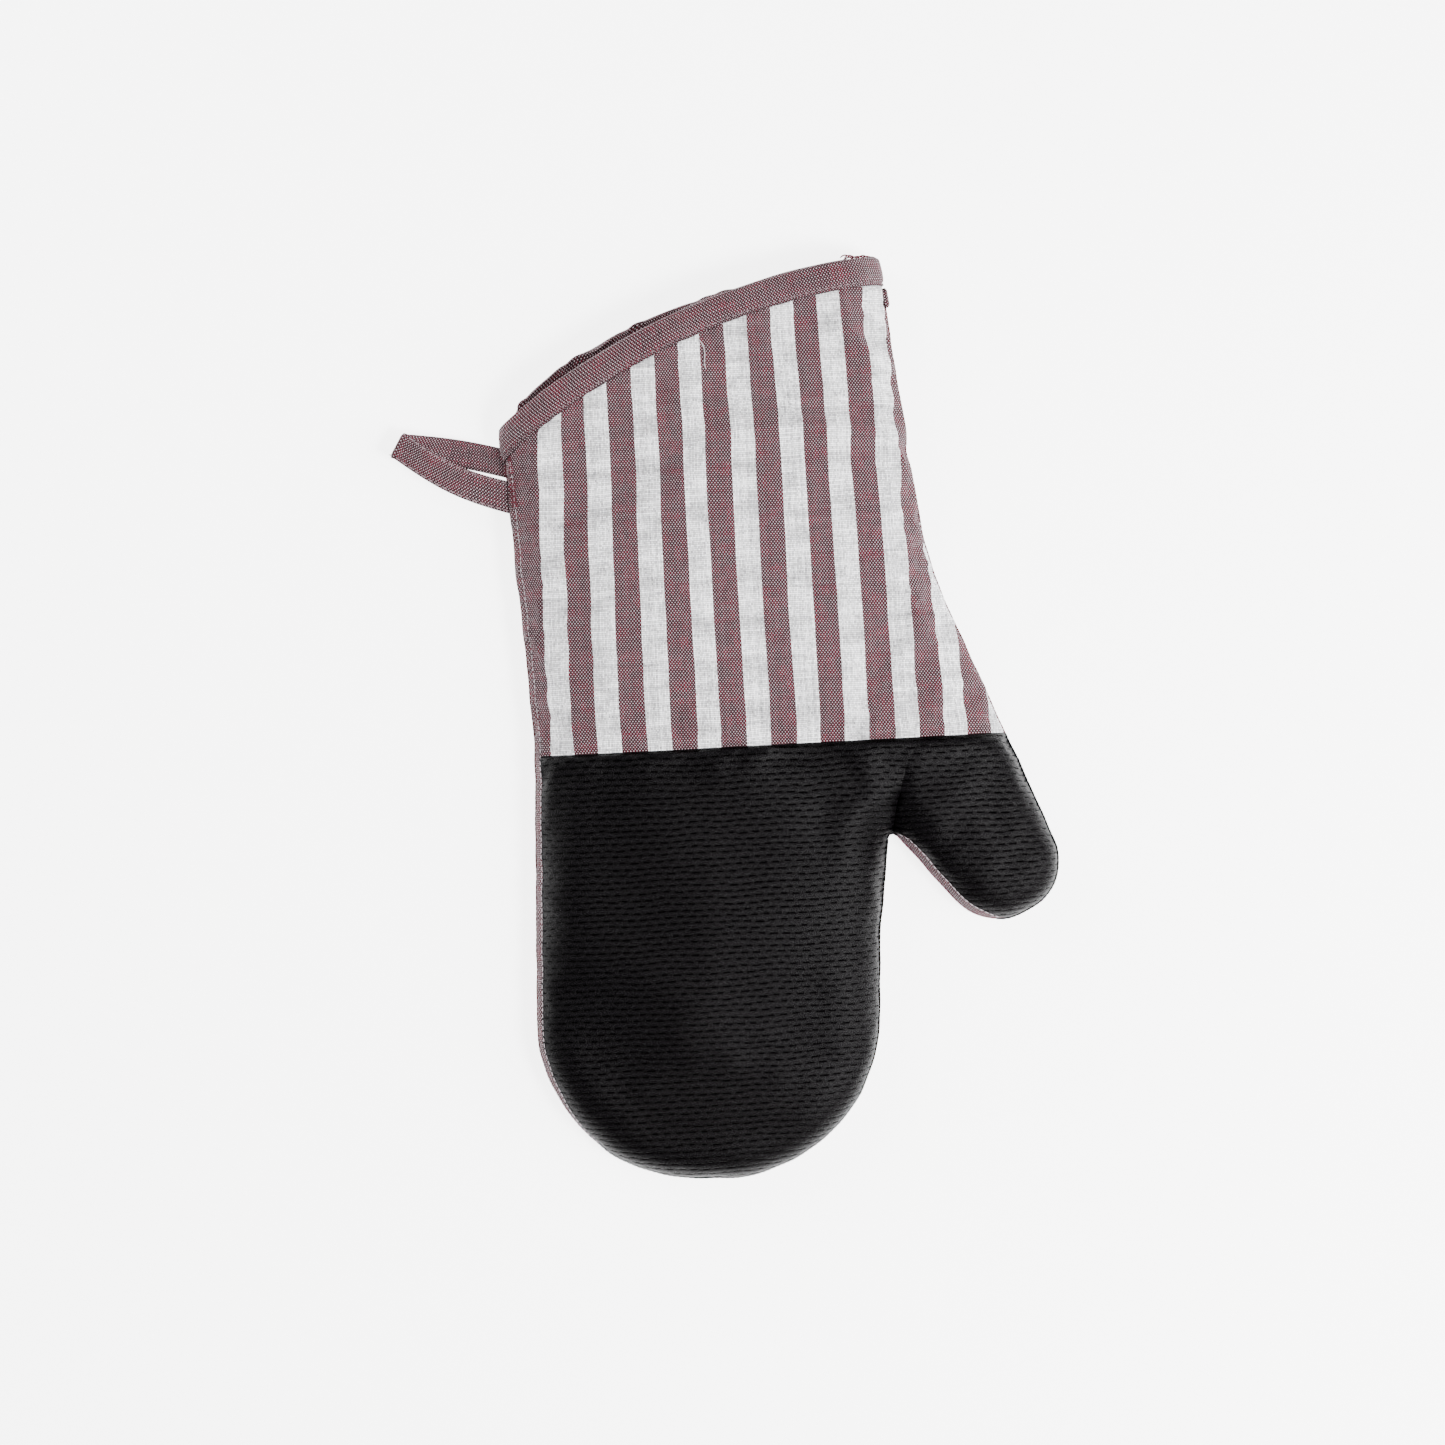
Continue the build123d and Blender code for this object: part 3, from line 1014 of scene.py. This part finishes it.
def edge_at(inset, corner):
    """The point of the sewn line at that distance inside the mouth, near its first or last end."""
    line = SEWN[:12] if corner == "right" else SEWN[::-1][:12]
    return points_at([inset], from_mouth(line), line)[0]


def mouth_ring(inset, count):
    """Surface points round the mouth at that distance in: the palm side, then back along the back."""
    arc = mouth_line(inset, [edge_at(inset, corner) for corner in ("left", "right")], count)
    depth, _, _ = nearest_on(arc, LONG_EDGE)
    front = np.column_stack([arc, palm_side(arc)])
    back = np.column_stack([slipped_back(arc, depth), back_side(arc)])
    front[[0, -1], 2] = SEAM_Z
    return np.vstack([front, back[-2:0:-1]]), np.concatenate([depth, depth[-2:0:-1]])


def binding_form():
    """Base rows round the mouth, their outward normals, and how thick the layers are there."""
    count = int(np.linalg.norm(RIGHT_CORNER - LEFT_CORNER) / RING_STEP)
    insets = [inset for inset, _ in BINDING_OUTER] + [0.0]
    rows = [mouth_ring(inset, count) for inset in insets]
    base = np.array([row for row, _ in rows])
    depth = rows[-1][1]
    size = base.shape[1]
    faces = ring_faces(len(base), size, [size - 1, 2 * size - 1, size, 0])
    normals = vertex_normals(base.reshape(-1, 3), faces).reshape(base.shape)
    centre = base.mean((0, 1))
    if (normals * (base - centre)).sum() < 0:
        normals = -normals
    for _ in range(3):
        normals = units(normals + np.roll(normals, 1, 1) + np.roll(normals, -1, 1))
    return base, normals, sum(pressed(depth, 0.0))


def make_binding():
    """The bound mouth: one strip folded over the edge, sewn through a channel near its lower side."""
    base, normals, thick = binding_form()
    outward = base[-1] - base[-2]
    outward[:, 2] = 0
    outward = units(outward)
    size = base.shape[1]
    swell = 1 + 0.12 * waviness(np.arange(size) * RING_STEP, 0, 9.0, 47)
    last = len(BINDING_OUTER)
    rows = [base[k] + normals[k] * (h * swell)[:, None] for k, (_, h) in enumerate(BINDING_OUTER)]
    under = list(base[:last] + normals[:last] * 0.06)
    # The fold: from the outer face over the edge to the inner one
    for angle in np.linspace(75, -75, 7):
        a = radians(angle)
        middle = -thick / 2
        high = (thick / 2 + 1.0) * sin(a) + middle
        low = (thick / 2 + 0.08) * sin(a) + middle
        rows.append(base[last] + normals[last] * high[:, None] + outward * (1.5 * cos(a) - 0.3))
        under.append(base[last] + normals[last] * low[:, None] + outward * (1.0 * cos(a) - 0.3))
    for k in range(last - 1, -1, -2):
        rows.append(base[k] - normals[k] * (thick + 0.75)[:, None])
        under.append(base[k] - normals[k] * (thick + 0.1)[:, None])
    rows, under = np.array(rows), np.array(under)
    # The binding never goes below the floor the back rests on
    rows[..., 2], under[..., 2] = np.maximum(rows[..., 2], 0.02), np.maximum(under[..., 2], 0.3)
    along, down = along_line(base[-1]), along_line(rows[:, size // 4])
    uv = np.stack(np.meshgrid(along, down), -1).reshape(-1, 2)
    faces = ring_faces(len(rows), size, [size - 1, 0, size, 2 * size - 1])
    top = rows.reshape(-1, 3)
    if (vertex_normals(top, faces)[:size] * normals[0]).sum() < 0:
        faces = faces[:, ::-1]
    piece = slab("mouth_binding", faces, top, under.reshape(-1, 3), BOUND, uv)
    belongs(piece, "hand", "binding_cloth", "cuff_binding")


def make_binding_stitches():
    """The row of short stitches sunk in the binding's channel, all the way round."""
    base, normals, _ = binding_form()
    line, up = base[STITCH_CHANNEL], normals[STITCH_CHANNEL]
    picks = np.arange(1, len(line) - 1, 3)
    ways = line[picks + 1] - line[picks - 1]
    centres = line[picks] + up[picks] * 0.55
    centres[:, 2] = np.maximum(centres[:, 2], 0.45)
    piece = beads("binding_stitch_row", centres, ways, up[picks], 1.5, 0.55, 0.5, ROSE_THREAD)
    belongs(piece, "hand", "light_thread", "binding_stitching")


# ---- hanging loop

LOOP_TIP = np.array([(-107.6, 109.7), (-102.5, 118.3)])
LOOP_UPPER = np.array([(-65.8, 87.3), (-65.8, 99.0)])  # where the leg on top goes into the seam
LOOP_LOWER = np.array([(-66.4, 100.4), (-66.4, 110.8)])
LOOP_SWAY = 2.6  # how far the legs curve sideways between root and tip
LOOP_CLOTH = 1.5  # the tape's thickness
LOOP_GAP = 0.95  # from the seam's height to the middle of each leg at its root
LOOP_BOW = 3.6  # how much further apart the legs are between root and tip


def loop_leg(root, side, sway_way):
    """One leg from its root to the tip: the tape's two edges, and the height over the seam."""
    rows = []
    for s in np.linspace(0, 1, 34):
        rise = LOOP_GAP + LOOP_BOW * sin(pi * min(s * 1.06, 1.0)) ** 0.8 * (1 - 0.25 * s)
        sway = sway_way * LOOP_SWAY * sin(pi * s)
        rows.append((root * (1 - s) + LOOP_TIP * s + sway, side * rise))
    return rows


def loop_grid():
    """Points of the folded tape, from the upper leg's root round the tip to the lower leg's."""
    out = unit(LOOP_TIP.mean(0) - (LOOP_UPPER.mean(0) + LOOP_LOWER.mean(0)) / 2)
    tip_turn = np.linspace(pi / 2, -pi / 2, 9)[1:-1]
    rows = loop_leg(LOOP_UPPER, 1, np.array([-0.35, -1.0]))
    rows += [(LOOP_TIP + out * 1.1 * cos(angle), LOOP_GAP * sin(angle)) for angle in tip_turn]
    rows += loop_leg(LOOP_LOWER, -1, np.array([0.1, 0.4]))[::-1]
    grid = []
    across = np.linspace(0, 1, 13)
    for ends, rise in rows:
        edge = ends[0] * (1 - across[:, None]) + ends[1] * across[:, None]
        curl = 0.35 * np.abs(2 * across - 1) ** 3 * (1 if rise > 0 else -1)
        grid.append(np.column_stack([edge, SEAM_Z + rise - curl]))
    return np.array(grid)


def make_loop():
    """The hanging loop: a sewn tape folded at its tip, its two ends in the side seam."""
    grid = loop_grid()
    size = grid.shape[1]
    faces = grid_faces(len(grid), size)
    flat = grid.reshape(-1, 3)
    normals = vertex_normals(flat, faces)
    if normals[: size * 30, 2].mean() < 0:
        faces, normals = faces[:, ::-1], -normals
    down = along_line(grid[:, size // 2])
    wide = np.linalg.norm(grid[0, -1] - grid[0, 0])
    uv = np.stack(np.meshgrid(np.linspace(0, wide, size), down), -1).reshape(-1, 2)[:, ::-1]
    edge = np.abs(np.linspace(-1, 1, size))
    thin = np.tile(np.where(edge > 0.95, 0.25, np.where(edge > 0.8, 0.8, 1.0)), len(grid))[:, None]
    top, under = flat + normals * LOOP_CLOTH / 2 * thin, flat - normals * LOOP_CLOTH / 2 * thin
    piece = slab("hanging_tape", faces, top, under, BOUND, uv)
    belongs(piece, "loop", "binding_cloth", "hanging_loop")
    make_loop_stitches(grid, normals.reshape(grid.shape))


def make_loop_stitches(grid, normals):
    """A row of stitches along each edge of the tape."""
    centres, ways, ups = [], [], []
    for column in (1, grid.shape[1] - 2):
        line = grid[:, column]
        place = along_line(line)
        at = np.arange(3.0, place[-1] - 3.0, 2.9)
        spots = points_at(at, place, line)
        up = units(points_at(at, place, normals[:, column]))
        centres.append(spots + up * (LOOP_CLOTH / 2 + 0.02))
        ways.append(points_at(at + 0.5, place, line) - spots)
        ups.append(up)
    rows = [np.vstack(part) for part in (centres, ways, ups)]
    stitches = beads("loop_edge_stitches", *rows, 2.0, 0.42, 0.36, ROSE_THREAD)
    belongs(stitches, "loop", "light_thread")


# ---- stitching


def surface_at(line, side):
    """The outer face's points above or below a line, and the face's normals there."""
    tree, start, way = (FRONT_TREE, 60.0, -1.0) if side == "front" else (BACK_TREE, -60.0, 1.0)
    at, up = [], []
    for x, y in line:
        spot, normal, _, _ = tree.ray_cast(Vector((x, y, start)), Vector((0, 0, way)))
        if spot is None:
            spot, normal, _, _ = tree.find_nearest(Vector((x, y, SEAM_Z)))
        at.append(tuple(spot))
        up.append(tuple(normal if normal.z * way < 0 else -normal))
    return np.array(at), np.array(up)


def make_quilting():
    """The diamond quilting on the back, in thin light thread."""
    centres, ways = [], []
    for k, angle in enumerate(QUILT_ANGLES):
        way = np.array([cos(angle), sin(angle)])
        across = np.array([-sin(angle), cos(angle)])
        for row in range(-14, 15):
            t = np.arange(-320, 320, 3.4)
            line = across * row * QUILT_PITCH + way * t[:, None]
            depth, _, _ = nearest_on(line, LONG_EDGE)
            inside = inside_loop(line, np.vstack([SEWN, mouth_line()[1:-1]]))
            line = line[inside & (depth > 3.0) & (from_mouth(line) > BINDING_WIDTH + 1.5)]
            centres += list(line)
            ways += [way] * len(line)
    centres, ways = np.array(centres), np.array(ways)
    slipped = slipped_back(centres, nearest_on(centres, LONG_EDGE)[0])
    at, up = surface_at(slipped, "back")
    ways = np.column_stack([ways, np.zeros(len(ways))])
    at[:, 2] = np.maximum(at[:, 2] - 0.1, 0.24)
    thumb = thumb_side(centres)
    for name, chosen, body in (("quilting_hand", ~thumb, "fingers"), ("quilting_thumb", thumb, "thumb")):
        piece = beads(name, at[chosen], ways[chosen], up[chosen], 2.3, 0.32, 0.40, LIGHT_THREAD)
        belongs(piece, body, "light_thread")


def make_side_seam():
    """Thread whipped over the sewn edge, lying slantwise like the lay of a rope."""
    line = spaced(SEWN, 1.9)
    kept = from_mouth(line) > BINDING_WIDTH + 1.0
    out = -inward(line)
    along = units(np.column_stack([np.gradient(line, axis=0), np.zeros(len(line))]))
    ways = along * 0.75 + np.array([0, 0, 0.66])
    ups = np.column_stack([out, np.zeros(len(out))])
    centres = np.column_stack([line, np.full(len(line), SEAM_Z + 0.2)]) + ups * 0.1
    thumb = thumb_side(line) & (line[:, 0] > 60)
    pale = (line[:, 1] > 0) | (turned_over(line) > 0.6)
    parts = [
        ("side_seam_thread", ~thumb & ~pale, "fingers", ["side_seam_fingers"], DARK_THREAD, "dark_thread"),
        ("thumb_seam_thread", thumb & ~pale, "thumb", ["side_seam_thumb"], DARK_THREAD, "dark_thread"),
        ("cuff_seam_thread", ~thumb & pale, "fingers", ["side_seam_hand"], WINE_THREAD, "light_thread"),
        ("crotch_seam_thread", thumb & pale, "thumb", [], WINE_THREAD, "light_thread"),
    ]
    for name, chosen, body, nodes, material, slot in parts:
        chosen = chosen & kept
        wide = 0.9 if material is DARK_THREAD else 0.55
        piece = beads(name, centres[chosen], ways[chosen], ups[chosen], 3.0, wide, wide, material)
        belongs(piece, body, slot)
        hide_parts(*nodes)


def make_turned_stitches():
    """The light line of stitching beside each turned-over strip."""
    for k, (row, body) in enumerate(zip(turned_rows(), ("fingers", "thumb"))):
        row = spaced(row[from_mouth(row) > BINDING_WIDTH + 0.8], 2.1)
        at, up = surface_at(row, "front")
        sizes = (1.5, 0.3, 0.45)
        name = f"turned_edge_stitches_{k + 1}"
        piece = beads(name, at + up * 0.1, np.gradient(at, axis=0), up, *sizes, LIGHT_THREAD)
        belongs(piece, body, "light_thread")


def make_bartacks():
    """Dense stitching across the seam where the loop's ends go in."""
    heights = np.concatenate([np.arange(90.0, 98.5, 0.75), np.arange(102.0, 109.5, 0.75)])
    at, up = surface_at([(edge_x(y, -1) + 2.2, y) for y in heights], "front")
    ways = np.cross([0, 1, 0], up)
    piece = beads("loop_bartack_stitches", at + up * 0.1, ways, up, 3.0, 0.45, 0.35, WINE_THREAD)
    belongs(piece, "hand", "light_thread", "loop_bartacks")


def strand(name, path, radius, material, slot, body):
    """A loose end of thread along a path of points."""
    path = np.asarray(path, float)
    along = units(np.gradient(path, axis=0))
    side = units(np.cross(along, [0.0, 0.0, 1.0]))
    up = np.cross(side, along)
    shape = np.full(len(path), radius)
    shape[[0, -1]] *= 0.4
    tube = zip(path, side, up, shape)
    points = [p + girth * (s * across + u * high) for p, s, u, girth in tube for across, high in AROUND]
    uv = [(i // SIDES, i % SIDES) for i in range(len(points))]
    belongs(add_mesh(name, points, tube_faces(0, len(path)), material, uv), body, slot)


def make_loose_threads():
    """One cut thread lying on the cuff, and a few frayed ends at the bound corner."""
    t = np.linspace(0, 1, 14)
    line = np.column_stack([4.0 + 2.7 * t + 0.8 * np.sin(5.0 * t), 145.3 - 10.9 * t])
    at, up = surface_at(line, "front")
    strand("cut_thread", at + up * 0.3, 0.22, LIGHT_THREAD, "light_thread", "hand")
    rng = np.random.default_rng(8)
    u = np.linspace(0, 1, 9)
    for k in range(7):
        x = 60.0 + 9.0 * k / 6
        y = MOUTH_CENTRE[1] + sqrt(MOUTH_RADIUS**2 - (x - MOUTH_CENTRE[0]) ** 2) + 0.9
        z = palm_side(np.array([[x, y]]))[0] - 0.6
        reach, lift = rng.uniform(3.0, 6.5), rng.uniform(0.6, 1.9)
        rise = lift * np.sin(2.4 * u) - 0.16 * reach * u
        path = np.column_stack([x - reach * u, y + rise, z - u * u])
        strand(f"frayed_end_{k + 1}", path, 0.27, WINE_THREAD, "dark_thread", "hand")
    edge = np.array([(edge_x(y, 1) + 0.5, y, SEAM_Z + 1.5) for y in np.linspace(154.6, 161.6, 9)])
    strand("binding_tail", edge, 1.1, BOUND, "binding_cloth", "hand")


# ---- the room

VIEW_CENTRE = (5.3, 8.8)
VIEW_TURN = -3.0  # the mitt lies turned this many degrees in the picture
VIEW_HEIGHT = 1.236  # in metres
FLOOR_GLOW = 4.5
SKY = 0.24
LAMPS = [  # name, place in metres, size, power
    ("key", (0.66, -0.36, 1.18), 0.40, 36.0),
    ("fill", (-0.85, 0.75, 0.75), 1.0, 22.0),
    ("side", (0.90, -0.20, 0.60), 0.8, 18.0),
]


FLOOR_LOOK = {
    "Base Color": (0.93, 0.93, 0.935),
    "Roughness": 0.75,
    "Specular IOR Level": 0.2,
    "Emission Color": (1, 1, 1),
    "Emission Strength": FLOOR_GLOW,
}


def make_room():
    """A pale floor, soft light from the lower right, and fill from the upper left."""
    look = Nodes("pale_floor")
    for name, value in FLOOR_LOOK.items():
        look.put(look.shader.inputs[name], value)
    corners = [(-3, -3, 0), (3, -3, 0), (3, 3, 0), (-3, 3, 0)]
    mesh = bpy.data.meshes.new("floor")
    mesh.from_pydata(corners, [], [(0, 1, 2, 3)])
    mesh.materials.append(look.material)
    floor = place_in_scene("floor", mesh)
    floor.location.z = -0.0003
    for name, place, size, power in LAMPS:
        lamp = bpy.data.lights.new(name, "AREA")
        lamp.shape = "DISK"
        lamp.size = size
        lamp.energy = power
        rig = place_in_scene(name, lamp)
        rig.location = place
        aim = Vector((0.0, 0.0, 0.01)) - Vector(place)
        rig.rotation_euler = aim.to_track_quat("-Z", "Y").to_euler()
    world = bpy.data.worlds.new("studio")
    world.use_nodes = True
    background = world.node_tree.nodes["Background"].inputs
    background["Color"].default_value = (0.97, 0.98, 1.0, 1)
    background["Strength"].default_value = SKY
    bpy.context.scene.world = world


def make_camera():
    """Straight above the mitt, as it was looked at."""
    data = bpy.data.cameras.new("camera")
    data.lens = 85.0
    data.sensor_width = 36.0
    camera = place_in_scene("camera", data)
    camera.location = (VIEW_CENTRE[0] * MM, VIEW_CENTRE[1] * MM, VIEW_HEIGHT)
    camera.rotation_euler = (0.0, 0.0, radians(VIEW_TURN))
    bpy.context.scene.camera = camera


make_layers()
make_binding()
make_binding_stitches()
make_loop()
make_quilting()
make_side_seam()
make_turned_stitches()
make_bartacks()
make_loose_threads()
make_room()
make_camera()
